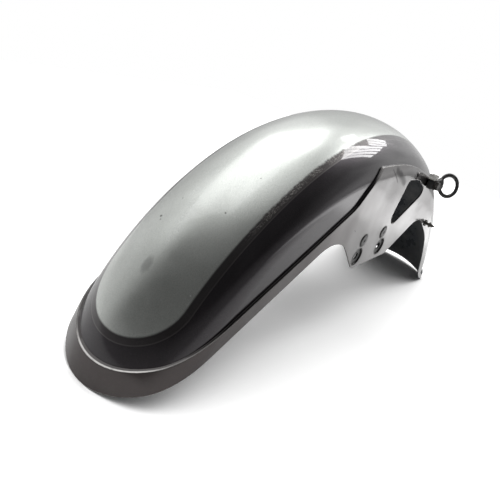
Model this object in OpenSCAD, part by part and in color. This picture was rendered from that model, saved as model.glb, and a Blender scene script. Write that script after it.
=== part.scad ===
// Front mudguard of a road motorcycle: one pressed steel shell with side wings,
// a cable guide eyelet on the left wing and a small push clip near the short end.
// Origin: midway between the wings, at the centre of the fork bolt holes.
// +X towards the long end, +Y towards the side with the guide, +Z up as it lies on a table.

/* [Crown] */
// radius of the crown line about the wheel axle
crown_radius = 330; // [250:1:380]
// axle position, X, from the centre of the fork bolt holes
axle_x = -0.65; // [-20:0.05:20]
// height of the crown above the centre of the fork bolt holes
crown_rise = 139.34; // [110:0.1:170]
// sheet thickness of the shell
wall = 1.6; // [0.8:0.1:3]

/* [Section] */
// half width over the dome side walls
half_width = 68.4; // [50:0.1:90]
// radius of the flat arc across the crown
crown_arc = 90; // [70:1:140]
// radius of each shoulder
shoulder_radius = 40; // [20:1:50]
// how far the lip and the wings stand out from the dome
step = 2.6; // [1:0.1:5]

/* [Long end] */
// slope of the long lip below the horizontal, in degrees
lip_slope = 30.5; // [20:0.5:40]
// X of the point where the long swage line turns up towards the wing
swage_x = 73; // [50:0.5:100]
// Z of that point
swage_z = 60.7; // [40:0.1:80]
// width of the lip below the swage line
lip_width = 15; // [8:0.5:25]

/* [Wings] */
// depth of the swage above the wings, below the crown line
wing_swage_depth = 34; // [25:0.5:45]
// fillet of the arch between the long lip and the wing
front_arch_radius = 48; // [20:1:70]
// fillet of the arch between the wing and the short end
rear_arch_radius = 38; // [20:1:60]
// corner fillet at the front of the wing foot
front_corner_radius = 8; // [3:0.5:20]
// corner fillet at the rear of the wing foot
rear_corner_radius = 12; // [3:0.5:25]

/* [Short end] */
// angle of the rim from the vertical, about the axle
rim_angle = 73.4; // [60:0.1:85]
// depth of the short side edge below the crown line
short_edge_depth = 66.5; // [55:0.5:80]
// width of the lip along the short side
short_lip_width = 11.5; // [6:0.5:20]
// lip width along the short rim
rim_lip_width = 16; // [8:0.5:25]
// rounding of the two lower corners of the short end
rim_corner_radius = 60; // [15:1:70]

/* [Fork bolt holes] */
// distance between the two holes of a wing
hole_pitch = 54.1; // [40:0.1:80]
// tilt of the hole row, in degrees, nose down
hole_tilt = 4.7; // [-10:0.1:15]
// diameter of a fork bolt hole
hole_diameter = 8.5; // [6:0.1:12]
// diameter of the pressed seat around a hole
seat_diameter = 20; // [14:0.5:30]
// depth of the pressed seat
seat_depth = 1.5; // [0.5:0.1:3]
// height of the second row, of raised pips, above the hole row
pip_rise = 20; // [15:0.5:30]
// distance between the two pips
pip_pitch = 47; // [30:0.5:70]
// diameter of a pip
pip_diameter = 14; // [8:0.5:20]
// how far a pip stands out
pip_height = 1.1; // [0.4:0.1:2.5]

/* [Wing window] */
// corner radius of the window, rear
window_rear_radius = 8; // [3:0.5:14]
// corner radius of the window, bottom
window_bottom_radius = 12; // [3:0.5:16]
// corner radius of the window, front top
window_front_radius = 6; // [2:0.5:12]

/* [Cable guide] */
// angle of the guide screw from the vertical, about the axle
guide_angle = 20; // [17:0.1:24]
// distance of the guide screw below the swage
guide_below = 7; // [5:0.5:14]
// size of the clamp block, along the shell
block_length = 17; // [10:0.5:24]
// height of the clamp block
block_height = 16; // [8:0.5:20]
// thickness of the clamp block
block_depth = 9; // [5:0.5:14]
// inner diameter of the eyelet
eye_diameter = 21; // [12:0.5:30]
// wire diameter of the eyelet
eye_wire = 4.8; // [3:0.1:8]
// distance of the eyelet centre from the guide screw, towards the short end
eye_reach = 24.5; // [20:0.5:50]
// distance of the eyelet centre outside the wing
eye_out = 20.3; // [12:0.5:30]
// turn of the eyelet about the vertical, in degrees
eye_turn = 20; // [0:1:60]
// length of the steel tab that backs the block
tab_length = 52; // [30:1:70]
// height of that tab
tab_height = 11.5; // [6:0.5:16]
// how far the tab stands out of the wing
tab_proud = 0.7; // [0.3:0.1:2]
// thread diameter of the guide screw
screw_diameter = 4; // [3:0.1:8]
// head width of the guide screw
screw_head = 9.5; // [6:0.1:14]
// width of the nut inside the wing
nut_width = 7; // [5:0.1:12]

/* [Push clip] */
// angle of the clip from the vertical, about the axle
clip_angle = 38.4; // [34:0.1:50]
// distance of the clip above the short side edge
clip_inset = 6.5; // [3:0.1:12]
// shank diameter of the clip
clip_shank = 3.8; // [2:0.1:6]
// flange diameter of the clip
clip_flange = 9; // [5:0.1:14]
// length that stands out of the shell
clip_length = 14; // [8:0.5:24]

/* [Fits] */
// clearance between a fastener and its hole, on the radius
hole_clearance = 0.25; // [0.1:0.05:1]
// gap between a seated piece and its seat
seat_gap = 0.15; // [0.05:0.05:0.5]

/* [Hidden] */
$fn = 72;

wall_depth = let (c = crown_arc - shoulder_radius, b = half_width - shoulder_radius)
  crown_arc - sqrt(c * c - b * b);
shoulder_r = crown_radius - wall_depth;
far = crown_radius + 60;
axle_drop = crown_radius - crown_rise;
wing_swage_radius = crown_radius - wing_swage_depth;
short_edge_radius = crown_radius - short_edge_depth;
short_swage_radius = short_edge_radius + short_lip_width;
guide_r = wing_swage_radius - guide_below;
guide_at = [axle_x - guide_r * sin(guide_angle), -axle_drop + guide_r * cos(guide_angle)];
wing_face = half_width + step;
seat_face = wing_face - seat_depth;
clip_radius = short_edge_radius - 6 + clip_inset;
lip_line_z = swage_z - lip_width / cos(lip_slope);
nut_top = guide_r + nut_width / cos(30) / 2 - shoulder_r;
nut_face = half_width - shoulder_radius + sqrt(pow(shoulder_radius + step - wall, 2) - nut_top * nut_top) - seat_gap;

// point at a radius and an angle from the vertical, about the axle
function polar(r, a) = [axle_x + r * sin(a), -axle_drop + r * cos(a)];

// points along an arc about the axle
function axle_arc(r, a0, a1, n) = [for (i = [0 : n]) concat(polar(r, a0 + (a1 - a0) * i / n), [0])];

// unit vector from p to q
function unit(p, q) = (q - p) / norm(q - p);

// one filleted corner: v is [x, z, radius], p and q are its neighbours
function corner(p, v, q) = let (
    c = [v[0], v[1]],
    u = unit(c, [p[0], p[1]]),
    w = unit(c, [q[0], q[1]]),
    half = acos(u * w) / 2,
    t = v[2] / tan(half),
    m = (u + w) / norm(u + w),
    o = c + m * v[2] / sin(half),
    s = c + u * t,
    e = c + w * t,
    a0 = atan2(s[1] - o[1], s[0] - o[0]),
    a1 = atan2(e[1] - o[1], e[0] - o[0]),
    d = a1 - a0 > 180 ? a1 - a0 - 360 : (a1 - a0 < -180 ? a1 - a0 + 360 : a1 - a0),
    n = max(2, ceil(abs(d) / 11)))
  [for (i = [0 : n]) o + v[2] * [cos(a0 + d * i / n), sin(a0 + d * i / n)]];

// outline through corners, each with its own fillet radius
function outline(v) = let (n = len(v))
  [for (i = [0 : n - 1]) each (v[i][2] > 0 ? corner(v[(i + n - 1) % n], v[i], v[(i + 1) % n])
    : [[v[i][0], v[i][1]]])];

// closed outline moved outwards by g, with mitred corners (outline runs clockwise)
function grown(v, g) = let (n = len(v)) [for (i = [0 : n - 1]) let (
    u = unit(v[(i + n - 1) % n], v[i]),
    w = unit(v[i], v[(i + 1) % n]),
    m = [-u[1] - w[1], u[0] + w[0]])
  v[i] + m * g * 2 / (m * m)];

// side view of the whole shell, clockwise
function edge_outline() = outline(concat(
  [[far, lip_line_z - tan(lip_slope) * (far - swage_x), 0],
   [87.2, lip_line_z - tan(lip_slope) * (87.2 - swage_x), front_arch_radius],
   [29.5, -17.3, front_corner_radius],
   [-53.3, -12.1, rear_corner_radius],
   [-126.3, 31.9, rear_arch_radius]],
  [concat(polar(short_edge_radius - 2.2, -43.6), [60])],
  axle_arc(short_edge_radius, -48, -62, 4),
  [concat(polar(short_edge_radius + 0.8, -rim_angle), [rim_corner_radius])],
  [concat(polar(crown_radius + 60, -rim_angle), [0])],
  [[-far, far, 0], [far, far, 0]]));

// angle of the swage line along the short rim
rim_swage_angle = rim_angle - rim_lip_width / crown_radius * 180 / PI;

// side view of the raised dome, clockwise
function dome_outline() = outline(concat(
  [[far, swage_z - tan(lip_slope) * (far - swage_x), 0],
   [swage_x, swage_z, 45]],
  [concat(polar(wing_swage_radius + 1, 8), [5])],
  axle_arc(wing_swage_radius, 3, -29, 7),
  [concat(polar(287.5, -35.7), [0])],
  [concat(polar(280.6, -39.6), [0])],
  axle_arc(short_swage_radius, -45, -58, 3),
  [concat(polar(short_swage_radius + 0.8, -rim_swage_angle), [30])],
  [concat(polar(crown_radius + 60, -rim_swage_angle), [0])],
  [[-far, far, 0], [far, far, 0]]));

// window in each wing, three straight sides and a bent top
function window_outline() = outline([
  [-37.5, 86.8, window_front_radius],
  [-23.4, 18, window_bottom_radius],
  [-106.2, 68.6, window_rear_radius],
  [-68, 86, 40]]);

// cross section, solid down to the wing foot, grown by g; x is the radius, y the width
module section(g) {
  intersection() {
    translate([crown_radius - crown_arc, 0]) circle(crown_arc + g);
    polygon([[crown_radius - crown_arc, 0],
      [crown_radius - crown_arc + 3 * (shoulder_r - crown_radius + crown_arc), 3 * (half_width - shoulder_radius)],
      [crown_radius - crown_arc + 3 * (shoulder_r - crown_radius + crown_arc), -3 * (half_width - shoulder_radius)]]);
  }
  for (s = [-1, 1]) translate([shoulder_r, s * (half_width - shoulder_radius)]) circle(shoulder_radius + g);
  translate([150, -half_width - g]) square([shoulder_r - 150, 2 * (half_width + g)]);
  polygon([[150, 0], [shoulder_r, half_width - shoulder_radius], [shoulder_r, shoulder_radius - half_width]]);
}

// section revolved about the axle
module revolved(g) {
  translate([axle_x, 0, -axle_drop]) rotate([90, 0, 0]) rotate_extrude() section(g);
}

// side view carried across the whole width
module across(points) {
  translate([0, half_width + 30, 0]) rotate([90, 0, 0])
    linear_extrude(2 * half_width + 60) polygon(points);
}

// one place of a fork bolt hole, i is -1 or 1 along the row
module hole_place(i) {
  rotate([0, hole_tilt, 0]) translate([i * hole_pitch / 2, 0, 0]) children();
}

// one place of a raised pip
module pip_place(i) {
  rotate([0, hole_tilt, 0]) translate([i * pip_pitch / 2, 0, pip_rise]) children();
}

// cylinder along Y from y0 to y1
module rod_y(y0, y1, r0, r1) {
  translate([0, y0, 0]) rotate([-90, 0, 0]) cylinder(h = y1 - y0, r1 = r0, r2 = r1);
}

module pressed_solid() {
  difference() {
    revolved(step);
    across(dome_outline());
  }
  revolved(0);
}

module pressed_hollow() {
  revolved(-wall);
  difference() {
    revolved(step - wall);
    across(grown(dome_outline(), wall));
  }
}

module shell() {
  color([0.16, 0.13, 0.14]) difference() {
    union() {
      intersection() {
        difference() {
          pressed_solid();
          pressed_hollow();
        }
        across(edge_outline());
      }
      // tab that backs the cable guide
      translate([guide_at[0], half_width + 1, guide_at[1]]) rotate([0, -14, 0]) {
        translate([-block_length / 2, 0, -tab_height / 2])
          cube([tab_length - tab_height / 2, step + tab_proud - 1, tab_height]);
        translate([tab_length - (block_length + tab_height) / 2, 0, 0])
          rod_y(0, step + tab_proud - 1, tab_height / 2, tab_height / 2);
      }
      for (s = [0, 1]) mirror([0, s, 0]) {
        for (i = [-1, 1]) {
          hole_place(i) rod_y(seat_face - wall, wing_face - wall / 2, seat_diameter / 2 + wall,
            seat_diameter / 2 + wall);
          pip_place(i) rod_y(wing_face - wall / 2, wing_face + pip_height, pip_diameter / 2,
            pip_diameter / 2 - 1.5);
        }
      }
    }
    for (s = [0, 1]) mirror([0, s, 0]) {
      translate([0, half_width + 30, 0]) rotate([90, 0, 0])
        linear_extrude(half_width) polygon(window_outline());
      for (i = [-1, 1]) {
        hole_place(i) rod_y(seat_face, wing_face + 5, seat_diameter / 2 - 1, seat_diameter / 2 + 2.5);
        hole_place(i) rod_y(half_width - 12, wing_face + 5, hole_diameter / 2, hole_diameter / 2);
        pip_place(i) rod_y(wing_face - wall - 5, wing_face + pip_height - wall, pip_diameter / 2 - 1.5,
          pip_diameter / 2 - 2);
      }
    }
    translate([guide_at[0], 0, guide_at[1]])
      rod_y(half_width - 12, wing_face + 5, screw_diameter / 2 + hole_clearance,
        screw_diameter / 2 + hole_clearance);
    clip_place() rod_y(half_width - 12, wing_face + 5, clip_shank / 2 + hole_clearance,
      clip_shank / 2 + hole_clearance);
  }
}

// eyelet radius to the middle of its wire
eye_ring = (eye_diameter + eye_wire) / 2;

module cable_guide() {
  base = wing_face + tab_proud + seat_gap;
  stem_y = block_depth - 4;
  run = [eye_reach - block_length / 2 + 3, eye_out - tab_proud - stem_y];
  color([0.05, 0.05, 0.05]) translate([guide_at[0], 0, guide_at[1]]) difference() {
    union() {
      // clamp block
      translate([-block_length / 2, base, -block_height / 2]) cube([block_length, block_depth, block_height]);
      // stem from the block to the eyelet
      translate([3 - block_length / 2, base + stem_y, 0]) rotate([0, 0, -atan2(run[1], run[0])])
        rotate([0, -90, 0]) cylinder(h = norm(run) - eye_ring + 1, r1 = eye_wire * 0.9, r2 = eye_wire / 2);
      // eyelet
      translate([-eye_reach, base + eye_out - tab_proud, 1])
        rotate([0, 0, -eye_turn]) rotate([-80, 0, 0])
          rotate_extrude() translate([eye_ring, 0]) circle(eye_wire / 2);
    }
    rod_y(half_width, base + block_depth + 5, screw_diameter / 2 + hole_clearance,
      screw_diameter / 2 + hole_clearance);
  }
}

module guide_screw() {
  seat = wing_face + tab_proud + block_depth + 2 * seat_gap;
  color([0.7, 0.68, 0.64]) translate([guide_at[0], 0, guide_at[1]]) {
    rod_y(nut_face - 5, seat + 0.5, screw_diameter / 2, screw_diameter / 2);
    rod_y(seat, seat + 1.2, screw_head / 2 + 1.5, screw_head / 2 + 1.5);
    translate([0, seat + 1, 0]) rotate([-90, 0, 0]) cylinder(h = 4.2, d = screw_head / cos(30), $fn = 6);
    // nut on the inside of the wing
    translate([0, nut_face - 3.2, 0]) rotate([-90, 0, 0])
      cylinder(h = 3.2, d = nut_width / cos(30), $fn = 6);
  }
}

module clip_place() {
  p = polar(clip_radius, -clip_angle);
  translate([p[0], 0, p[1]]) children();
}

module push_clip() {
  y0 = wing_face + seat_gap;
  color([0.25, 0.22, 0.2]) clip_place() {
    rod_y(wing_face - wall - seat_gap - 1.2, wing_face - wall - seat_gap, clip_flange / 2 - 1, clip_flange / 2 - 0.6);
    rod_y(wing_face - wall - seat_gap - 1, y0 + 1, clip_shank / 2, clip_shank / 2);
    rod_y(y0, y0 + 1.3, clip_flange / 2, clip_flange / 2);
    rod_y(y0 + 1, y0 + clip_length * 0.4, clip_shank / 2, clip_shank / 2);
    rod_y(y0 + clip_length * 0.4, y0 + clip_length * 0.5, clip_flange / 2 - 0.8, clip_flange / 2 - 0.8);
    rod_y(y0 + clip_length * 0.5, y0 + clip_length, clip_shank / 2 + 1, 0.5);
  }
}

shell();
cable_guide();
guide_screw();
push_clip();
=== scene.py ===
# %% [markdown]
# # Front mudguard of a road motorcycle
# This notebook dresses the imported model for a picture: the shell gets exact surface
# normals and two-tone paint, the small parts get their own finishes, and a soft
# studio with a dark side stands around the table.

# %% Load the frame
import bpy
import bmesh
import math
import numpy as np
from mathutils import Vector, Matrix
from types import SimpleNamespace


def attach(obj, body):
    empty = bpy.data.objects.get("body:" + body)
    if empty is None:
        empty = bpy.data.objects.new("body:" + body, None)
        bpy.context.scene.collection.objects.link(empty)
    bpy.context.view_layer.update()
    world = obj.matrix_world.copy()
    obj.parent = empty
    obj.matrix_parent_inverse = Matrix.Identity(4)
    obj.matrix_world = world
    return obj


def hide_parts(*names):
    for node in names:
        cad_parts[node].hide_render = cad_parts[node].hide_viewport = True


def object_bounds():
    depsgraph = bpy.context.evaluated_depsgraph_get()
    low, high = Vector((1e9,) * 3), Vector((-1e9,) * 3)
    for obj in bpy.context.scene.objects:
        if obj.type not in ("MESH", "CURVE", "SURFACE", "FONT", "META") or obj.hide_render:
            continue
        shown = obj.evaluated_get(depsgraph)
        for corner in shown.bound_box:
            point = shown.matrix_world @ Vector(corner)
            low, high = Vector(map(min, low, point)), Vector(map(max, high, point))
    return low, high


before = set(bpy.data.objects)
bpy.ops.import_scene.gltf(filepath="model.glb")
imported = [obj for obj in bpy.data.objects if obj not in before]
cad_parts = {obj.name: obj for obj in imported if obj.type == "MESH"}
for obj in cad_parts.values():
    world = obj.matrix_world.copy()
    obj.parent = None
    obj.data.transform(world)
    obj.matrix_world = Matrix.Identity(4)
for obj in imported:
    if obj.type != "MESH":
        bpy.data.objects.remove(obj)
cad_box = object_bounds()
MM, METRE = 0.001, 1000.0
print("nodes", sorted(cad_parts), "box", cad_box)

# %% [markdown]
# The camera comes first. Its place and its three directions are in the part's own
# frame, in metres, and the focal length is for a square picture.

# %% Camera
CAM_AT = Vector((0.529232, 0.268478, 0.196681))
CAM_RIGHT = Vector((-0.63093, 0.72843, 0.26706))
CAM_UP = Vector((-0.1536, -0.45469, 0.87731))
CAM_BACK = Vector((0.76048, 0.5125, 0.39876))
SENSOR = 36.0
FOCAL = SENSOR * 499.81 / 500.0


def add_camera():
    cam = bpy.data.objects.new("camera", bpy.data.cameras.new("camera"))
    cam.data.sensor_width = SENSOR
    cam.data.lens = FOCAL
    cam.data.clip_start = 0.01
    m = Matrix((CAM_RIGHT, CAM_UP, CAM_BACK)).transposed().to_4x4()
    m.translation = CAM_AT
    cam.matrix_world = m
    bpy.context.collection.objects.link(cam)
    bpy.context.scene.camera = cam
    return cam


camera = add_camera()
scene = bpy.context.scene
scene.view_settings.view_transform = "Standard"
print("camera at", tuple(round(v, 3) for v in camera.location))

# %% [markdown]
# The shell is a section turned about the wheel axle. These are the sizes of that
# section in mm, so that each point of the mesh can be given the true normal of the
# surface that it lies on, and a flat map of the paint: length along the crown and
# width over it.

# %% Surface of the shell
AXLE = (-0.65, -190.66)
CROWN, ARC, SHOULDER, HALF = 330.0, 90.0, 40.0, 68.4
STEP, WALL = 2.6, 1.6
# middle of the shoulder arc: how far across and how far from the axle
SHORT = HALF - SHOULDER
SHOULDER_R = CROWN - (ARC - math.sqrt((ARC - SHOULDER) ** 2 - SHORT ** 2))
SPLIT = math.atan2(SHORT, SHOULDER_R - (CROWN - ARC))


def surface(P):
    """Distance from the dome surface, angle, width over the crown and normal."""
    x, y, z = P[:, 0] - AXLE[0], P[:, 1], P[:, 2] - AXLE[1]
    r, ay = np.hypot(x, z), np.abs(y)
    crown_angle = np.arctan2(ay, r - (CROWN - ARC))
    vr, vy = r - SHOULDER_R, ay - SHORT
    shoulder_angle = np.arctan2(vy, vr)
    on_arc, on_wall = crown_angle < SPLIT, r < SHOULDER_R
    d = np.where(on_arc, np.hypot(r - (CROWN - ARC), ay) - ARC, np.hypot(vr, vy) - SHOULDER)
    d = np.where(on_wall, ay - HALF, d)
    q = np.where(on_arc, ARC * crown_angle, ARC * SPLIT + SHOULDER * (shoulder_angle - SPLIT))
    wall_q = ARC * SPLIT + SHOULDER * (math.pi / 2 - SPLIT) + SHOULDER_R - r
    q = np.where(on_wall, wall_q, q)
    a = np.where(on_wall, math.pi / 2, np.where(on_arc, crown_angle, shoulder_angle))
    nr, ny = np.cos(a), np.sin(a) * np.sign(y)
    return d, np.arctan2(x, z), q * np.sign(y), np.stack([nr * x / r, ny, nr * z / r], 1)


print("crown", CROWN, "mm from the axle, half width", HALF, "mm")

# %% [markdown]
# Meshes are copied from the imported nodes. The shell is cut finer, and points on its
# outward folds are marked, because the paint wears there.

# %% Mesh tools
LONGEST_EDGE, MOST_FACES = 0.012, 90000
OUTWARD_FOLD = 0.35


def copy_mesh(node, name):
    me = bpy.data.objects[node].data.copy()
    me.materials.clear()
    ob = bpy.data.objects.new(name, me)
    bpy.context.collection.objects.link(ob)
    return ob


def refine(me):
    bm = bmesh.new()
    bm.from_mesh(me)
    bmesh.ops.remove_doubles(bm, verts=bm.verts, dist=1e-6)
    for _ in range(3):
        long_edges = [e for e in bm.edges if e.calc_length() > LONGEST_EDGE]
        if not long_edges or len(bm.faces) > MOST_FACES:
            break
        bmesh.ops.subdivide_edges(bm, edges=long_edges, cuts=1, use_grid_fill=False)
        bmesh.ops.triangulate(bm, faces=[f for f in bm.faces if len(f.verts) > 3])
    fold = bm.verts.layers.float.new("fold")
    for e in bm.edges:
        if len(e.link_faces) == 2 and e.calc_face_angle_signed(0.0) > OUTWARD_FOLD:
            for v in e.verts:
                v[fold] = 1.0
    bm.to_mesh(me)
    bm.free()


def read(data, name, width, kind=np.float64):
    out = np.empty(len(data) * width, dtype=kind)
    data.foreach_get(name, out)
    return out.reshape(-1, width)


print("mesh tools ready")

# %% [markdown]
# Points near one of the four skins (dome and lip, outside and inside) are set exactly
# on it. Faces on a skin take its normals, all others stay flat. Slot 0 is the dome,
# slot 1 the lip and the wings, slot 2 the inside and the rim of the short end.

# %% Shell mesh
SKINS = np.array([0.0, -WALL, STEP, STEP - WALL])
SNAP = 0.3
SHORT_END_X = -150.0
DOME, LIP, INSIDE = 0, 1, 2


def sort_faces(me, P, d, N, near, snapped, loops):
    face_normals = read(me.polygons, "normal", 3)
    slots = np.zeros(len(me.polygons), dtype=np.int32)
    normals = np.empty((len(loops), 3))
    for i, f in enumerate(me.polygons):
        span = slice(f.loop_start, f.loop_start + f.loop_total)
        v = loops[span]
        dot = float(face_normals[i] @ N[v].mean(0))
        on_skin = snapped[v].all() and (near[v] == near[v[0]]).all()
        if on_skin and abs(dot) > 0.9:
            normals[span] = N[v] * math.copysign(1.0, dot)
            outside = DOME if near[v[0]] == 0 else LIP
            slots[i] = outside if dot > 0 else INSIDE
        else:
            normals[span] = face_normals[i]
            inside = d[v].mean() < -0.4 or dot < -0.5
            rim = abs(dot) < 0.6 and P[v, 0].mean() < SHORT_END_X
            slots[i] = INSIDE if inside or rim else LIP
    return slots, normals


def dress_shell():
    ob = copy_mesh("shell", "shell_skin")
    me = ob.data
    refine(me)
    P = read(me.vertices, "co", 3) * METRE
    d, angle, q, N = surface(P)
    near = np.abs(d[:, None] - SKINS[None]).argmin(1)
    off = d - SKINS[near]
    snapped = np.abs(off) < SNAP
    P = np.where(snapped[:, None], P - N * off[:, None], P)
    P[:, 2] = np.minimum(P[:, 2], cad_box[1][2] * METRE)
    me.vertices.foreach_set("co", (P / METRE).ravel())
    loops = read(me.loops, "vertex_index", 1, np.int64)[:, 0]
    slots, normals = sort_faces(me, P, d, N, near, snapped, loops)
    me.polygons.foreach_set("material_index", slots)
    me.polygons.foreach_set("use_smooth", np.ones(len(me.polygons), dtype=bool))
    me.normals_split_custom_set(normals.tolist())
    step = me.attributes.new("step", "FLOAT", "POINT")
    step.data.foreach_set("value", (d / STEP).astype(np.float32))
    uv = me.uv_layers.new(name="paint_map")
    flat_map = np.stack([angle[loops] * CROWN, q[loops]], 1) / METRE
    uv.data.foreach_set("uv", flat_map.ravel())
    print("shell", len(me.polygons), "faces", np.bincount(slots))
    return ob


shell = dress_shell()
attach(shell, "root")
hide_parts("shell")

# %% [markdown]
# A small kit for shader nodes: each call adds one node and wires its inputs.

# %% Node kit
class Graph:
    def __init__(self, tree):
        self.nt = tree

    def node(self, kind, **props):
        n = self.nt.nodes.new(kind)
        for k, v in props.items():
            setattr(n, k, v)
        return n

    def put(self, sock, value):
        if isinstance(value, bpy.types.NodeSocket):
            self.nt.links.new(value, sock)
        else:
            sock.default_value = value

    def math(self, op, a, b=0.0, clamp=False):
        n = self.node("ShaderNodeMath", operation=op, use_clamp=clamp)
        self.put(n.inputs[0], a)
        self.put(n.inputs[1], b)
        return n.outputs[0]

    def add(self, a, b):
        return self.math("ADD", a, b)

    def sub(self, a, b):
        return self.math("SUBTRACT", a, b)

    def mul(self, first, *others):
        for value in others:
            first = self.math("MULTIPLY", first, value)
        return first

    def most(self, first, *others):
        for value in others:
            first = self.math("MAXIMUM", first, value)
        return first

    def size(self, a):
        return self.math("ABSOLUTE", a)

    def hypot(self, a, b):
        return self.math("SQRT", self.add(self.mul(a, a), self.mul(b, b)))

    def ramp(self, x, lo, hi, a=0.0, b=1.0, smooth=True):
        kind = "SMOOTHSTEP" if smooth else "LINEAR"
        n = self.node("ShaderNodeMapRange", interpolation_type=kind)
        for i, v in enumerate((x, lo, hi, a, b)):
            self.put(n.inputs[i], v)
        return n.outputs[0]

    def xyz(self, vector):
        n = self.node("ShaderNodeSeparateXYZ")
        self.put(n.inputs[0], vector)
        return n.outputs

    def light_path(self, kind):
        return self.node("ShaderNodeLightPath").outputs[kind]

    def noise(self, vec, scale, detail=3.0, rough=0.55):
        n = self.node("ShaderNodeTexNoise")
        self.put(n.inputs["Vector"], vec)
        n.inputs["Scale"].default_value = scale
        n.inputs["Detail"].default_value = detail
        n.inputs["Roughness"].default_value = rough
        return n.outputs[0]


print("node kit ready")

# %% [markdown]
# A paint is a node kit on a new material. It can also mix colours, round the folds
# of a mesh for the light, and tell how much an outward fold is worn.

# %% Paint kit
class Paint(Graph):
    def __init__(self, name):
        self.mat = bpy.data.materials.new(name)
        self.mat.use_nodes = True
        super().__init__(self.mat.node_tree)
        self.bsdf = self.nt.nodes["Principled BSDF"]

    def place(self):
        return self.node("ShaderNodeTexCoord").outputs["Object"]

    def attribute(self, name):
        return self.node("ShaderNodeAttribute", attribute_name=name).outputs["Fac"]

    def paint_map(self):
        return self.xyz(self.node("ShaderNodeUVMap", uv_map="paint_map").outputs[0])

    def mix(self, f, a, b):
        n = self.node("ShaderNodeMix", data_type="RGBA")
        self.put(n.inputs[0], f)
        self.put(n.inputs[6], a)
        self.put(n.inputs[7], b)
        return n.outputs[2]

    def bump(self, height, strength, distance):
        n = self.node("ShaderNodeBump")
        n.inputs["Strength"].default_value = strength
        n.inputs["Distance"].default_value = distance
        self.put(n.inputs["Height"], height)
        return n.outputs[0]

    def rounded(self, radius, normal=None):
        n = self.node("ShaderNodeBevel", samples=8)
        n.inputs["Radius"].default_value = radius
        if normal is not None:
            self.put(n.inputs["Normal"], normal)
        return n.outputs[0]

    def edge_wear(self, radius, dirt):
        """1 on outward folds, where the rounded normal leaves the true one, broken by noise."""
        n = self.node("ShaderNodeVectorMath", operation="DOT_PRODUCT")
        self.put(n.inputs[0], self.rounded(radius))
        self.put(n.inputs[1], self.node("ShaderNodeNewGeometry").outputs["Normal"])
        bent = self.ramp(n.outputs["Value"], 0.995, 0.93)
        fold = self.ramp(self.attribute("fold"), 0.55, 0.85)
        return self.mul(bent, fold, self.ramp(dirt, 0.30, 0.5, 0.4, 1.0))

    def sky(self, reach, samples):
        """Share of the sky that a point sees within reach, in metres."""
        n = self.node("ShaderNodeAmbientOcclusion", samples=samples)
        n.inputs["Distance"].default_value = reach
        return n.outputs["AO"]

    def set(self, **values):
        for k, v in values.items():
            self.put(self.bsdf.inputs[k.replace("_", " ")], v)


def rgb(r, g, b):
    return (r, g, b, 1.0)


FOLD_RADIUS = 0.0008
COAT_ROUGHNESS = 0.035
print("paint kit ready")

# %% [markdown]
# The dome is dark with a silver-grey panel along the crown. The panel has round ends
# and a fine stripe around it. Places on the paint are s, mm along the crown from the
# top, and q, mm across it. The distance from the panel's outline is called edge.

# %% Dome tones
PANEL_LONG, PANEL_ROUND = 329.0, 50.0
PANEL_HALF_AT = {-60.0: 42.0, 260.0: 51.0}
STRIPE = 6.6
DARK, DARK_FLAKE = rgb(0.024, 0.020, 0.024), rgb(0.052, 0.044, 0.048)
SILVER, SILVER_FLAKE = rgb(0.425, 0.45, 0.425), rgb(0.70, 0.715, 0.69)
SILVER_CLOUD = rgb(0.40, 0.41, 0.395)
STRIPE_TINT, STRIPE_LINE = rgb(0.15, 0.14, 0.13), rgb(0.30, 0.29, 0.28)


def dome_fields(g):
    f = SimpleNamespace(obj=g.place())
    along, across, _ = g.paint_map()
    f.s, f.q = g.mul(along, 1000.0), g.mul(across, 1000.0)
    half = g.ramp(f.s, *PANEL_HALF_AT.keys(), *PANEL_HALF_AT.values())
    a = g.most(g.sub(g.size(f.s), PANEL_LONG), 0.0)
    b = g.add(g.size(f.q), g.sub(PANEL_ROUND, half))
    f.edge = g.sub(g.hypot(a, b), PANEL_ROUND)
    worn_s = g.mul(g.ramp(f.s, 30.0, 70.0), g.ramp(f.s, 265.0, 215.0))
    f.worn = g.mul(worn_s, g.ramp(f.q, 0.0, 20.0))
    f.fine = g.noise(f.obj, 420.0, 4.0, 0.7)
    f.coarse = g.noise(f.obj, 90.0, 3.0, 0.6)
    f.fleck = g.noise(f.obj, 950.0, 3.0, 0.75)
    f.cloud = g.noise(f.obj, 14.0, 4.0, 0.6)
    return f


def dome_tones(g, f):
    rag = g.mul(g.sub(g.add(f.fine, f.coarse), 1.0), g.mul(f.worn, 3.0))
    panel = g.ramp(g.add(f.edge, rag), 0.8, -1.6)
    stripe = g.mul(g.ramp(f.edge, STRIPE + 0.8, STRIPE), g.sub(1.0, panel))
    line = g.mul(g.ramp(g.size(g.sub(f.edge, STRIPE)), 0.9, 0.3), 0.12)
    flake = g.noise(f.obj, 2600.0, 1.0, 0.5)
    dark = g.mix(g.ramp(flake, 0.45, 0.8), DARK, DARK_FLAKE)
    dark = g.mix(g.mul(stripe, g.add(0.15, g.mul(f.worn, 0.12))), dark, STRIPE_TINT)
    dark = g.mix(line, dark, STRIPE_LINE)
    silver = g.mix(g.ramp(flake, 0.3, 0.75), SILVER, SILVER_FLAKE)
    silver = g.mix(g.mul(g.ramp(f.cloud, 0.5, 0.75), 0.25), silver, SILVER_CLOUD)
    return g.mix(panel, dark, silver)


print("panel", 2 * PANEL_LONG, "mm long between the middles of its ends")

# %% [markdown]
# The paint flakes along the edge of the panel on the guide side: light flecks where
# it is lifted, dark ones where it is gone. Chips, rubbed spots and a smudge follow,
# each a spot at s, q with its half sizes. A chip with a radius below 0 is a light one.

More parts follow.
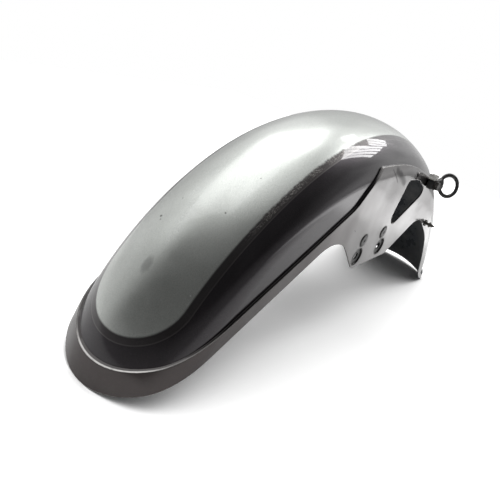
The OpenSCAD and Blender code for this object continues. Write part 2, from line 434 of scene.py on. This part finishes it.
# %% Dome wear
CHIPS = [(243.0, 25.0, 1.1), (252.0, -20.0, 0.9), (276.0, -26.0, 1.7), (279.0, -23.0, 1.2),
         (317.0, 47.0, -0.9), (196.0, 24.0, 0.8)]
RUBS = [(252.0, -7.0, 13.0, 5.0), (268.0, -3.0, 12.0, 4.0), (284.0, 2.0, 12.0, 5.0),
        (240.0, -14.0, 8.0, 5.0)]
SMUDGE = (317.0, -1.0, 11.0, 6.0)
CHIP_DARK, CHIP_LIGHT = rgb(0.05, 0.048, 0.045), rgb(0.9, 0.9, 0.9)
GONE, LIFTED = rgb(0.02, 0.018, 0.016), rgb(0.62, 0.60, 0.56)
RUB_DARK, RUB_LIGHT = rgb(0.30, 0.33, 0.31), rgb(0.94, 0.96, 0.94)
SMUDGE_TONE = rgb(0.12, 0.12, 0.12)


def flaking(g, f):
    on_band = g.mul(g.ramp(g.size(g.sub(f.edge, 2.4)), 3.4, 1.2), f.worn)
    along = g.node("ShaderNodeCombineXYZ")
    g.put(along.inputs[0], g.mul(f.s, 0.16))
    g.put(along.inputs[1], f.edge)
    streak = g.noise(along.outputs[0], 1.9, 3.0, 0.75)
    torn = g.mul(g.ramp(streak, 0.50, 0.60), g.ramp(f.fleck, 0.40, 0.52))
    light = g.mul(on_band, torn, g.ramp(f.coarse, 0.34, 0.54))
    gone = g.mul(on_band, g.ramp(g.noise(f.obj, 1300.0, 2.0, 0.6), 0.60, 0.66))
    return light, gone


def spot(g, f, s0, q0, half_s, half_q, ragged):
    ds = g.math("DIVIDE", g.sub(f.s, s0), half_s)
    dq = g.math("DIVIDE", g.sub(f.q, q0), half_q)
    return g.ramp(g.add(g.hypot(ds, dq), g.mul(g.sub(f.fine, 0.5), ragged)), 1.0, 0.4)


def dome_wear(g, f, base):
    """The worn colour, the bare share of the paint and the share that is rough."""
    light, gone = flaking(g, f)
    base = g.mix(g.mul(gone, 0.7), base, GONE)
    base = g.mix(g.mul(light, 0.6), base, LIFTED)
    bare = g.most(light, gone)
    for s0, q0, radius in CHIPS:
        chip = spot(g, f, s0, q0, abs(radius), abs(radius), 1.2)
        bare = g.most(bare, chip)
        base = g.mix(g.mul(chip, 0.8), base, CHIP_DARK if radius > 0 else CHIP_LIGHT)
    rubbed = g.most(0.0, *[spot(g, f, *rub, 1.2) for rub in RUBS])
    base = g.mix(g.mul(rubbed, g.ramp(f.fleck, 0.46, 0.36, 0.0, 0.3)), base, RUB_DARK)
    rubbed = g.mul(rubbed, g.ramp(f.fleck, 0.5, 0.58))
    base = g.mix(g.mul(rubbed, 0.5), base, RUB_LIGHT)
    base = g.mix(g.mul(spot(g, f, *SMUDGE, 0.5), 0.45), base, SMUDGE_TONE)
    return base, bare, g.most(light, rubbed)


print("chips", len(CHIPS), "rubbed spots", len(RUBS))

# %% [markdown]
# The clear coat lies over all of it, smooth where the paint is whole. Fine hairlines
# and a faint orange peel keep its mirror image from being perfect.

# %% Dome paint
def hairlines(g, f):
    turned = g.node("ShaderNodeMapping")
    turned.inputs["Rotation"].default_value = (0.2, 0.4, 0.9)
    turned.inputs["Scale"].default_value = (1.0, 14.0, 4.0)
    g.put(turned.inputs[0], f.obj)
    return g.ramp(g.noise(turned.outputs[0], 60.0, 2.0, 0.5), 0.55, 0.8, 0.0, 0.06)


def dome_paint():
    g = Paint("dome_paint")
    f = dome_fields(g)
    base, bare, rough_share = dome_wear(g, f, dome_tones(g, f))
    rough = g.add(g.ramp(f.cloud, 0.35, 0.75, 0.30, 0.40), g.mul(rough_share, 0.3))
    coat = g.sub(1.0, g.mul(bare, 0.85))
    peel = g.bump(g.noise(f.obj, 55.0, 2.0, 0.4), 0.05, 0.0006)
    g.set(Base_Color=base, Metallic=1.0, Roughness=g.add(rough, hairlines(g, f)))
    g.set(Coat_Weight=coat, Coat_Roughness=COAT_ROUGHNESS)
    g.set(Coat_Normal=g.rounded(FOLD_RADIUS, peel), Normal=g.rounded(FOLD_RADIUS))
    return g.mat


shell.data.materials.append(dome_paint())
print("paint", shell.data.materials[0].name)

# %% [markdown]
# The lip and the wings are browner than the dome. These are the marks on them, with
# sizes in metres: a painted shadow line round the end of the backing tab on the left wing,
# painted shade round the bolt seats and the pips, and a few dark lines. The shadow line
# follows the photo, so it is a little longer and flatter than the tab of the model.

# %% Wing marks
TAB_ROOT, TAB_TURN = (-0.0995, 0.0810), math.radians(11.0)
TAB_ROUND_FROM, TAB_SHADOW_RADIUS = 0.04425, 0.00735
# each kind of pressing: x and z in its row, radius of rim and hole, side of the painted shade
ROW_TILT = math.radians(4.7)
SEATS = (0.02705, 0.0, 0.0100, 0.0052, -1.0)
PIPS = (0.0235, 0.020, 0.0070, 0.0022, 1.0)
# each dark line: from x, z to x, z, and its half width
DARK_WING_LINES = [((0.0182, 0.1008), (-0.0036, 0.0860), 0.0012),
                ((0.0075, 0.1004), (-0.0253, 0.0836), 0.0055),
                ((0.0592, 0.0352), (0.0560, 0.0335), 0.0009),
                ((-0.1048, 0.0537), (-0.1020, 0.0500), 0.0009)]


def tab_edge_shadow(g, x, y, z):
    # Painted shadow: a thin dark line round the rounded end of the backing tab.
    dx, dz = g.sub(x, TAB_ROOT[0]), g.sub(z, TAB_ROOT[1])
    c, k = math.cos(TAB_TURN), math.sin(TAB_TURN)
    u = g.add(g.mul(dx, c), g.mul(dz, k))
    v = g.sub(g.mul(dz, c), g.mul(dx, k))
    past = g.most(g.sub(u, TAB_ROUND_FROM), 0.0)
    line = g.ramp(g.size(g.sub(g.hypot(past, v), TAB_SHADOW_RADIUS)), 0.0012, 0.0006)
    return g.mul(line, g.ramp(y, 0.069, 0.0705), g.ramp(u, 0.004, 0.008))


def row_place(x, z):
    c, k = math.cos(ROW_TILT), math.sin(ROW_TILT)
    return x * c + z * k, z * c - x * k


def pressing_shade(g, x, z, dirt):
    """Painted shade: a dark ring on the shaded side of each seat and pip rim and a dark middle, and the
    dull inside of each pressing.
    """
    dark, dull = 0.0, 0.0
    for along, up, rim, hole, lean in (SEATS, PIPS):
        for side in (-1, 1):
            cx, cz = row_place(side * along, up)
            dx, dz = g.sub(x, cx), g.sub(z, cz)
            r = g.hypot(dx, dz)
            lit = g.math("DIVIDE", g.add(dx, g.mul(dz, 0.4)), g.mul(r, lean))
            ring = g.ramp(g.size(g.sub(r, rim)), 0.0014, 0.0006)
            ring = g.mul(ring, g.ramp(lit, -0.7, 0.1, 0.25, 1.0))
            # painted shade: the rim ring darker on its shaded side, and a dark middle
            dark = g.most(dark, ring, g.ramp(r, hole, hole * 0.8))
            dull = g.most(dull, g.ramp(r, rim + 0.0022, rim + 0.0008))
    return g.mul(dark, g.ramp(dirt, 0.30, 0.50, 0.85, 1.0)), dull


# A few dark lines on the wing, with less clear coat on them.
def dark_wing_lines(g, x, y, z, dirt):
    total = 0.0
    for (ax, az), (bx, bz), wide in DARK_WING_LINES:
        lx, lz = bx - ax, bz - az
        px, pz = g.sub(x, ax), g.sub(z, az)
        t = g.add(g.mul(px, lx), g.mul(pz, lz))
        t = g.math("DIVIDE", t, lx * lx + lz * lz, clamp=True)
        r = g.hypot(g.sub(px, g.mul(t, lx)), g.sub(pz, g.mul(t, lz)))
        r = g.add(r, g.mul(g.sub(dirt, 0.5), wide))
        total = g.most(total, g.ramp(r, wide, wide * 0.2, 0.0, 0.8))
    return g.mul(total, g.ramp(y, 0.060, 0.066))


print("dark wing lines", len(DARK_WING_LINES))

# %% [markdown]
# The paint of the lip and the wings has dust in it, painted shade along the ledge with a
# painted highlight line where the ledge faces the light, and worn folds. The sheet is a
# little wavy here. The inside is a dark primer with grime.

# %% Lip, wings and inside
BROWN, BROWN_FLAKE = rgb(0.048, 0.038, 0.037), rgb(0.075, 0.060, 0.058)
BROWN_CLOUD, WING_TONE = rgb(0.12, 0.105, 0.10), rgb(0.24, 0.235, 0.235)
LEDGE_SHADE, LEDGE_HIGHLIGHT = rgb(0.016, 0.014, 0.014), rgb(0.40, 0.39, 0.38)
TAB_SHADOW_TONE, WORN_FOLD = rgb(0.006, 0.006, 0.006), rgb(0.62, 0.60, 0.57)
DULL_TONE, PRESSING_SHADE_TONE = rgb(0.20, 0.20, 0.20), rgb(0.010, 0.009, 0.008)
LINE_TONE = rgb(0.03, 0.028, 0.028)
PRIMER, PRIMER_GRIME = rgb(0.055, 0.06, 0.068), rgb(0.12, 0.12, 0.12)


def lip_tones(g, obj, cloud, along, across):
    flake = g.noise(obj, 2600.0, 1.0, 0.5)
    base = g.mix(g.ramp(flake, 0.45, 0.8), BROWN, BROWN_FLAKE)
    base = g.mix(g.mul(g.ramp(cloud, 0.45, 0.75), 0.3), base, BROWN_CLOUD)
    wing = g.mul(g.ramp(along, 0.16, 0.07), g.ramp(g.size(across), 0.07, 0.09))
    return g.mix(g.mul(wing, 0.6), base, WING_TONE)


def ledge_shade_and_highlight(g, base, x, z, across, dust):
    # painted shade along the ledge, and a painted highlight line where it faces the light
    step = g.attribute("step")
    ledge = g.mul(g.ramp(step, 0.98, 0.92), g.ramp(step, 0.02, 0.08))
    base = g.mix(g.mul(ledge, 0.85), base, LEDGE_SHADE)
    facing = g.most(g.ramp(x, 0.12, 0.20), g.ramp(z, 0.085, 0.095))
    highlight = g.mul(ledge, g.ramp(step, 0.50, 0.70), facing)
    off_middle = g.size(g.sub(across, 0.014))
    highlight = g.mul(highlight, g.ramp(off_middle, 0.054, 0.028, 0.18, 1.0))
    return g.mix(g.mul(highlight, g.ramp(dust, 0.30, 0.5, 0.7, 1.0)), base, LEDGE_HIGHLIGHT)


def worn_folds(g, x, z, dust):
    off_tab = g.most(g.ramp(z, 0.098, 0.100), g.ramp(x, -0.054, -0.050))
    return g.mul(g.edge_wear(0.0006, dust), off_tab, 0.8)


def lip_paint():
    g = Paint("lip_paint")
    obj = g.place()
    x, y, z = g.xyz(obj)
    along, across, _ = g.paint_map()
    cloud, dust = g.noise(obj, 22.0, 5.0, 0.6), g.noise(obj, 140.0, 4.0, 0.7)
    base = lip_tones(g, obj, cloud, along, across)
    # painted shadow line round the end of the backing tab
    base = g.mix(tab_edge_shadow(g, x, y, z), base, TAB_SHADOW_TONE)
    # painted shade and painted highlight along the ledge
    base = ledge_shade_and_highlight(g, base, x, z, across, dust)
    base = g.mix(worn_folds(g, x, z, dust), base, WORN_FOLD)
    # grime here holds the painted shade round the seats and the pips
    grime, dull = pressing_shade(g, x, z, dust)
    lines = dark_wing_lines(g, x, y, z, dust)
    base = g.mix(g.mul(dull, 0.7), base, DULL_TONE)
    base = g.mix(lines, g.mix(grime, base, PRESSING_SHADE_TONE), LINE_TONE)
    rough = g.add(g.ramp(cloud, 0.4, 0.7, 0.28, 0.36), g.ramp(dust, 0.6, 0.8, 0.0, 0.12))
    coat = g.sub(1.0, g.mul(g.most(dull, lines), 0.85))
    wave = g.bump(g.noise(obj, 18.0, 1.5, 0.4), 0.75, 0.0045)
    g.set(Base_Color=base, Metallic=1.0, Roughness=g.add(rough, g.mul(dull, 0.25)))
    g.set(Coat_Weight=coat, Coat_Roughness=COAT_ROUGHNESS)
    g.set(Coat_Normal=g.rounded(FOLD_RADIUS, wave), Normal=g.rounded(FOLD_RADIUS, wave))
    return g.mat


def inside_paint():
    g = Paint("inside_paint")
    obj = g.place()
    grime = g.noise(obj, 30.0, 6.0, 0.65)
    grit = g.bump(g.noise(obj, 500.0, 3.0, 0.6), 0.25, 0.0004)
    base = g.mix(g.ramp(grime, 0.35, 0.7), PRIMER, PRIMER_GRIME)
    g.set(Base_Color=base, Roughness=g.ramp(grime, 0.3, 0.7, 0.22, 0.45), Normal=grit)
    return g.mat


shell.data.materials.append(lip_paint())
shell.data.materials.append(inside_paint())
print("paint", [m.name for m in shell.data.materials])

# %% [markdown]
# The small parts share one kind of finish: two tones and two roughnesses mixed by
# noise. Screw and clip are smooth copies of their nodes. The other pieces are built
# from simple shapes, which are placed in mm.

# %% Piece tools
def smooth_copy(node, name, sharp_from):
    ob = copy_mesh(node, name)
    bm = bmesh.new()
    bm.from_mesh(ob.data)
    bmesh.ops.remove_doubles(bm, verts=bm.verts, dist=1e-6)
    for f in bm.faces:
        f.smooth = True
    for e in bm.edges:
        if len(e.link_faces) == 2 and e.calc_face_angle(0.0) > math.radians(sharp_from):
            e.smooth = False
    bm.to_mesh(ob.data)
    bm.free()
    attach(ob, "root")
    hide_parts(node)
    return ob


def new_piece(name, bm, stands_for=None):
    me = bpy.data.meshes.new(name)
    bmesh.ops.recalc_face_normals(bm, faces=bm.faces)
    bm.to_mesh(me)
    bm.free()
    ob = bpy.data.objects.new(name, me)
    bpy.context.collection.objects.link(ob)
    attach(ob, "root")
    if stands_for:
        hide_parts(stands_for)
    return ob


def shape_at(centre, turn, size):
    stretch = Matrix.Diagonal((*(Vector(size) * MM), 1.0))
    return Matrix.Translation(Vector(centre) * MM) @ turn.to_4x4() @ stretch


def edges_of(made):
    return list({e for v in made["verts"] for e in v.link_edges})


def bevel_all(bm, made, offset, segments):
    bmesh.ops.bevel(bm, geom=edges_of(made), offset=offset * MM, segments=segments,
                    profile=0.5, affect="EDGES", material=-1)


def small_finish(name, lo, hi, metallic, r_lo, r_hi, grain):
    g = Paint(name)
    obj = g.place()
    patches = g.noise(obj, grain, 5.0, 0.65)
    grit = g.bump(g.noise(obj, grain * 9.0, 2.0, 0.5), 0.2, 0.0002)
    g.set(Base_Color=g.mix(g.ramp(patches, 0.35, 0.7), lo, hi), Metallic=metallic)
    g.set(Roughness=g.ramp(patches, 0.3, 0.7, r_lo, r_hi), Normal=grit)
    return g.mat


print("piece tools ready")

# %% [markdown]
# The cable guide is one moulding: a clamp block, a flat arm that widens, and an oval
# eye. Block, arm and ring are simple shapes first. The voxel remesh then fuses them
# and a few smoothing steps give the soft fillets of a moulded part.

# %% Cable guide
BLOCK_AT, BLOCK = (-101.5, 76.4, 80.6), (13.5, 8.8, 12.0)
EYE_AT, EYE_RADIUS, EYE_WIRE = Vector((-132.5, 87.5, 80.8)), 12.9, 2.35
EYE_TURN = Matrix.Rotation(math.radians(-42.0), 3, "Z") @ Matrix.Rotation(math.radians(-80.0), 3, "X")
EYE_OVAL = Matrix.Rotation(math.radians(20.0), 3, "Z")
ARM_FROM = Vector(BLOCK_AT) + Vector((-4.5, 1.0, 0.5))
ARM_ENDS, ARM_NECK, ARM_FLAT = (6.4, 9.0), 4.8, 0.55
VOXEL = 0.42


def add_block(bm):
    place = shape_at(BLOCK_AT, Matrix.Identity(3), BLOCK)
    bevel_all(bm, bmesh.ops.create_cube(bm, size=1.0, matrix=place), 2.2, 3)


def add_eye(bm):
    """A small circle is spun to a ring of mm size, which is then made oval and placed."""
    place = Matrix.Translation((EYE_RADIUS, 0, 0)) @ Matrix.Rotation(math.pi / 2, 4, "X")
    wire = bmesh.ops.create_circle(bm, segments=20, radius=EYE_WIRE, matrix=place)
    bmesh.ops.spin(bm, geom=edges_of(wire) + wire["verts"], cent=(0, 0, 0), axis=(0, 0, 1),
                   angle=2 * math.pi, steps=64, use_merge=True, use_duplicate=False)
    oval = EYE_OVAL @ Matrix.Diagonal((0.96, 1.06, 1.0)) @ EYE_OVAL.transposed()
    for v in bm.verts:
        if v.co.length > 1.0:
            v.co = (EYE_AT + EYE_TURN @ (oval @ v.co)) * MM


def add_arm(bm):
    """Two flattened cones from the block to the near side of the ring, narrow where they meet."""
    side = EYE_TURN.transposed() @ (ARM_FROM - EYE_AT)
    side.z = 0.0
    finish = EYE_AT + EYE_TURN @ (side.normalized() * (EYE_RADIUS - 0.5))
    neck = ARM_FROM.lerp(finish, 0.45)
    normal = EYE_TURN @ Vector((0, 0, 1))
    for a, b, ra, rb in ((ARM_FROM, neck, ARM_ENDS[0], ARM_NECK), (neck, finish, ARM_NECK, ARM_ENDS[1])):
        z = (b - a).normalized()
        y = normal.cross(z).normalized()
        x = y.cross(z).normalized()
        place = shape_at((a + b) / 2.0, Matrix((x, y, z)).transposed(), (ARM_FLAT, 1.0, 1.0))
        bmesh.ops.create_cone(bm, cap_ends=True, segments=32, radius1=ra, radius2=rb,
                              depth=(b - a).length + 2.0, matrix=place)


def guide_moulding():
    bm = bmesh.new()
    add_block(bm)
    add_eye(bm)
    add_arm(bm)
    ob = new_piece("guide_body", bm, "cable_guide")
    fuse = ob.modifiers.new("fuse", "REMESH")
    fuse.mode = "VOXEL"
    fuse.voxel_size = VOXEL * MM
    fuse.use_smooth_shade = True
    soft = ob.modifiers.new("soften", "SMOOTH")
    soft.factor, soft.iterations = 0.5, 5
    return ob


guide = guide_moulding()
BLACK = (rgb(0.018, 0.018, 0.018), rgb(0.04, 0.039, 0.038))
guide.data.materials.append(small_finish("guide_black", *BLACK, 0.0, 0.3, 0.5, 160.0))
print("guide", len(guide.data.vertices), "points before the remesh")

# %% [markdown]
# A bright steel strap is folded over the block and held by a small nut. The strap is
# two bevelled plates, and washer and nut are short cones with bevelled rims.

# %% Strap and nut
STRAP_TILT = Matrix.Rotation(math.radians(-14.0), 3, "Y")
BLOCK_TOP = BLOCK_AT[2] + BLOCK[2] / 2.0
# place of a plate over the top of the block, and its size
PLATES = [((-99.0, 76.2, 0.8), (12.0, 9.4, 1.3)),
          ((-94.5, 76.2, 3.4), (1.3, 9.4, 6.5))]
# washer and nut: number of sides, radius, height over the block, thickness
NUT_FOOT = Vector((-99.0, 77.4, BLOCK_TOP))
STACK = [(32, 5.0, 1.4, 1.2), (6, 4.6, 2.5, 4.2)]


def steel_strap():
    bm = bmesh.new()
    for (x, y, over), size in PLATES:
        place = shape_at((x, y, BLOCK_TOP + over), STRAP_TILT, size)
        bevel_all(bm, bmesh.ops.create_cube(bm, size=1.0, matrix=place), 0.35, 2)
    for sides, radius, low, tall in STACK:
        at = NUT_FOOT + STRAP_TILT @ Vector((0, 0, low + tall / 2.0))
        place = shape_at(at, STRAP_TILT, (1.0, 1.0, 1.0))
        cone = bmesh.ops.create_cone(bm, cap_ends=True, segments=sides, radius1=radius,
                                     radius2=radius, depth=tall, matrix=place)
        bevel_all(bm, cone, 0.25, 1)
    return new_piece("guide_strap", bm)


strap = steel_strap()
BRIGHT = (rgb(0.72, 0.71, 0.68), rgb(0.95, 0.94, 0.91))
strap.data.materials.append(small_finish("strap_steel", *BRIGHT, 0.3, 0.25, 0.4, 160.0))
print("strap", len(strap.data.polygons), "faces")

# %% [markdown]
# The guide screw is dark plated steel and the push clip is dusty grey plastic. Both
# keep the form of the model.

# %% Screw and clip
screw = smooth_copy("guide_screw", "guide_bolt", 20.0)
PLATED = (rgb(0.03, 0.028, 0.026), rgb(0.10, 0.095, 0.09))
screw.data.materials.append(small_finish("bolt_steel", *PLATED, 1.0, 0.28, 0.55, 240.0))
clip = smooth_copy("push_clip", "clip_body", 35.0)
GREY = (rgb(0.05, 0.048, 0.042), rgb(0.16, 0.15, 0.13))
clip.data.materials.append(small_finish("clip_grey", *GREY, 0.3, 0.4, 0.65, 240.0))
print("small parts", guide.name, strap.name, screw.name, clip.name)

# %% [markdown]
# The table is a plain pale plane that both ends of the mudguard touch. Away from the
# mudguard it glows for the camera, so that it fades into white. Near the mudguard the glow
# is held back, so the soft shade of the contact is partly real shadow and partly painted
# shade. In the mirror of the paint it glows behind the short end.

# %% Table
TABLE_WIDE = 2.6
PALE = (rgb(0.92, 0.92, 0.915), rgb(0.95, 0.95, 0.95))
TABLE_GREY, TABLE_NEAR = rgb(0.42, 0.42, 0.42), (-0.5, -0.6, 0.0)


def table_glow(g, obj):
    # Painted shade: the glow is held back where the mudguard hides the sky.
    open_share = g.ramp(g.sky(0.32, 12), 0.30, 0.88, 0.0, 0.75, smooth=False)
    free_share = g.ramp(g.sky(0.05, 8), 0.45, 0.92, 0.2, 1.0, smooth=False)
    away = g.mul(open_share, free_share)
    x = g.xyz(obj)[0]
    far = g.ramp(x, -0.70, -0.86, 0.0, 0.2)
    end = g.mul(g.ramp(x, -0.35, -0.50), g.ramp(x, -0.80, -0.66))
    behind = g.mul(g.light_path("Is Glossy Ray"), g.most(far, g.mul(end, 0.85)))
    return g.most(g.mul(g.light_path("Is Camera Ray"), away), behind)


def table_paint():
    g = Paint("table_white")
    obj = g.place()
    near = g.node("ShaderNodeVectorMath", operation="DISTANCE")
    g.put(near.inputs[0], obj)
    near.inputs[1].default_value = TABLE_NEAR
    white = g.mix(g.noise(obj, 30.0, 2.0), *PALE)
    base = g.mix(g.ramp(near.outputs["Value"], 1.1, 1.8), white, TABLE_GREY)
    g.set(Base_Color=base, Roughness=0.7, Specular_IOR_Level=0.1)
    g.set(Emission_Color=rgb(1.0, 1.0, 1.0), Emission_Strength=table_glow(g, obj))
    return g.mat


def add_table(z):
    bpy.ops.mesh.primitive_plane_add(size=TABLE_WIDE, location=(0.0, 0.0, z))
    ob = bpy.context.object
    ob.name = "table"
    ob.data.materials.append(table_paint())


add_table(cad_box[0][2])
print("table at", round(cad_box[0][2] * METRE, 1), "mm")

# %% [markdown]
# The camera sees plain white around the table. The paint sees a studio instead: bright
# above and behind, dark on the camera's side, and a little uneven. Directions are given
# as azimuth and elevation in degrees.

# %% Studio
def direction(az, el):
    a, e = math.radians(az), math.radians(el)
    return Vector((math.cos(e) * math.cos(a), math.cos(e) * math.sin(a), math.sin(e)))


def towards(g, ray, az, el):
    """Cosine of the angle between a ray and a direction."""
    dot = g.node("ShaderNodeVectorMath", operation="DOT_PRODUCT")
    g.put(dot.inputs[0], ray)
    dot.inputs[1].default_value = direction(az, el)
    return dot.outputs["Value"]


def room_light(g, ray):
    up = g.xyz(ray)[2]
    dark_side = g.ramp(towards(g, ray, 50.0, 8.0), 0.28, -0.26, 0.13, 1.15)
    height = g.ramp(up, 0.0, 0.75, 0.44, 0.95)
    back = g.ramp(towards(g, ray, 165.0, 8.0), 0.6, 0.92, 0.0, 0.2)
    floor = g.ramp(up, -0.12, 0.0, 0.5, 1.0)
    uneven = g.ramp(g.noise(ray, 3.2, 3.0, 0.5), 0.35, 0.65, 0.80, 1.16)
    dimmed = g.ramp(towards(g, ray, -168.0, 38.0), 0.80, 0.97, 1.0, 0.76)
    side = g.mul(g.add(g.mul(dark_side, height), back), floor, uneven, dimmed)
    above = g.ramp(up, 0.86, 1.0, 0.0, 1.0)
    low_glow = g.ramp(up, -0.02, 0.34, 0.26, 0.0)
    left = g.ramp(towards(g, ray, -84.0, -8.0), 0.84, 0.99, 0.0, 0.2)
    return g.add(g.most(side, low_glow, above), left)


def studio():
    w = bpy.data.worlds.new("studio")
    w.use_nodes = True
    w.node_tree.nodes.clear()
    g = Graph(w.node_tree)
    light = room_light(g, g.node("ShaderNodeTexCoord").outputs["Generated"])
    seen = g.most(g.light_path("Is Camera Ray"), g.light_path("Is Transmission Ray"))
    mix = g.node("ShaderNodeMix", data_type="FLOAT")
    for i, value in ((0, seen), (2, light), (3, 1.0)):
        g.put(mix.inputs[i], value)
    grey = g.node("ShaderNodeCombineColor")
    for i in range(3):
        g.put(grey.inputs[i], mix.outputs[0])
    back = g.node("ShaderNodeBackground")
    g.put(back.inputs[0], grey.outputs[0])
    g.put(back.inputs[1], 1.0)
    g.put(g.node("ShaderNodeOutputWorld").inputs[0], back.outputs[0])
    scene.world = w


studio()
print("world", scene.world.name)

# %% [markdown]
# A large lamp over the table and four windows light the paint. A window is a row of
# tall panes and each pane is one soft lamp, so the crown mirrors bars of light with
# dark frames between them.

# %% Lamps
WINDOW_FAR, PANE_SHARE = 2.4, 0.78


def softbox(name, az, el, far, size, radiance):
    li = bpy.data.lights.new(name, "AREA")
    li.shape = "RECTANGLE"
    li.size, li.size_y = size
    li.energy = radiance * math.pi * size[0] * size[1]
    ob = bpy.data.objects.new(name, li)
    ob.location = direction(az, el) * far
    ob.rotation_euler = (-direction(az, el)).to_track_quat("-Z", "Y").to_euler()
    bpy.context.collection.objects.link(ob)


def spread(degrees):
    """Size of a lamp that covers an angle, seen from the mudguard."""
    return 2.0 * WINDOW_FAR * math.tan(math.radians(degrees / 2.0))


def window(name, az, el, span, tall, panes, radiance):
    pitch = span / panes
    wide = spread(pitch * PANE_SHARE * math.cos(math.radians(el)))
    for i in range(panes):
        at = az + (i - (panes - 1) / 2.0) * pitch
        softbox("%s_%d" % (name, i), at, el, WINDOW_FAR, (wide, spread(tall)), radiance)


softbox("overhead", -85.0, 66.0, 2.2, (2.4, 1.8), 1.0)
window("window_near", 160.0, 45.0, 20.0, 23.0, 4, 8.0)
window("window_mid", 175.0, 37.0, 9.0, 11.0, 3, 6.0)
window("window_high", 226.0, 62.0, 56.0, 18.0, 2, 2.6)
window("window_side", 184.0, 51.0, 10.0, 8.0, 1, 3.0)
print("lamps", len(bpy.data.lights))

# %% Finish
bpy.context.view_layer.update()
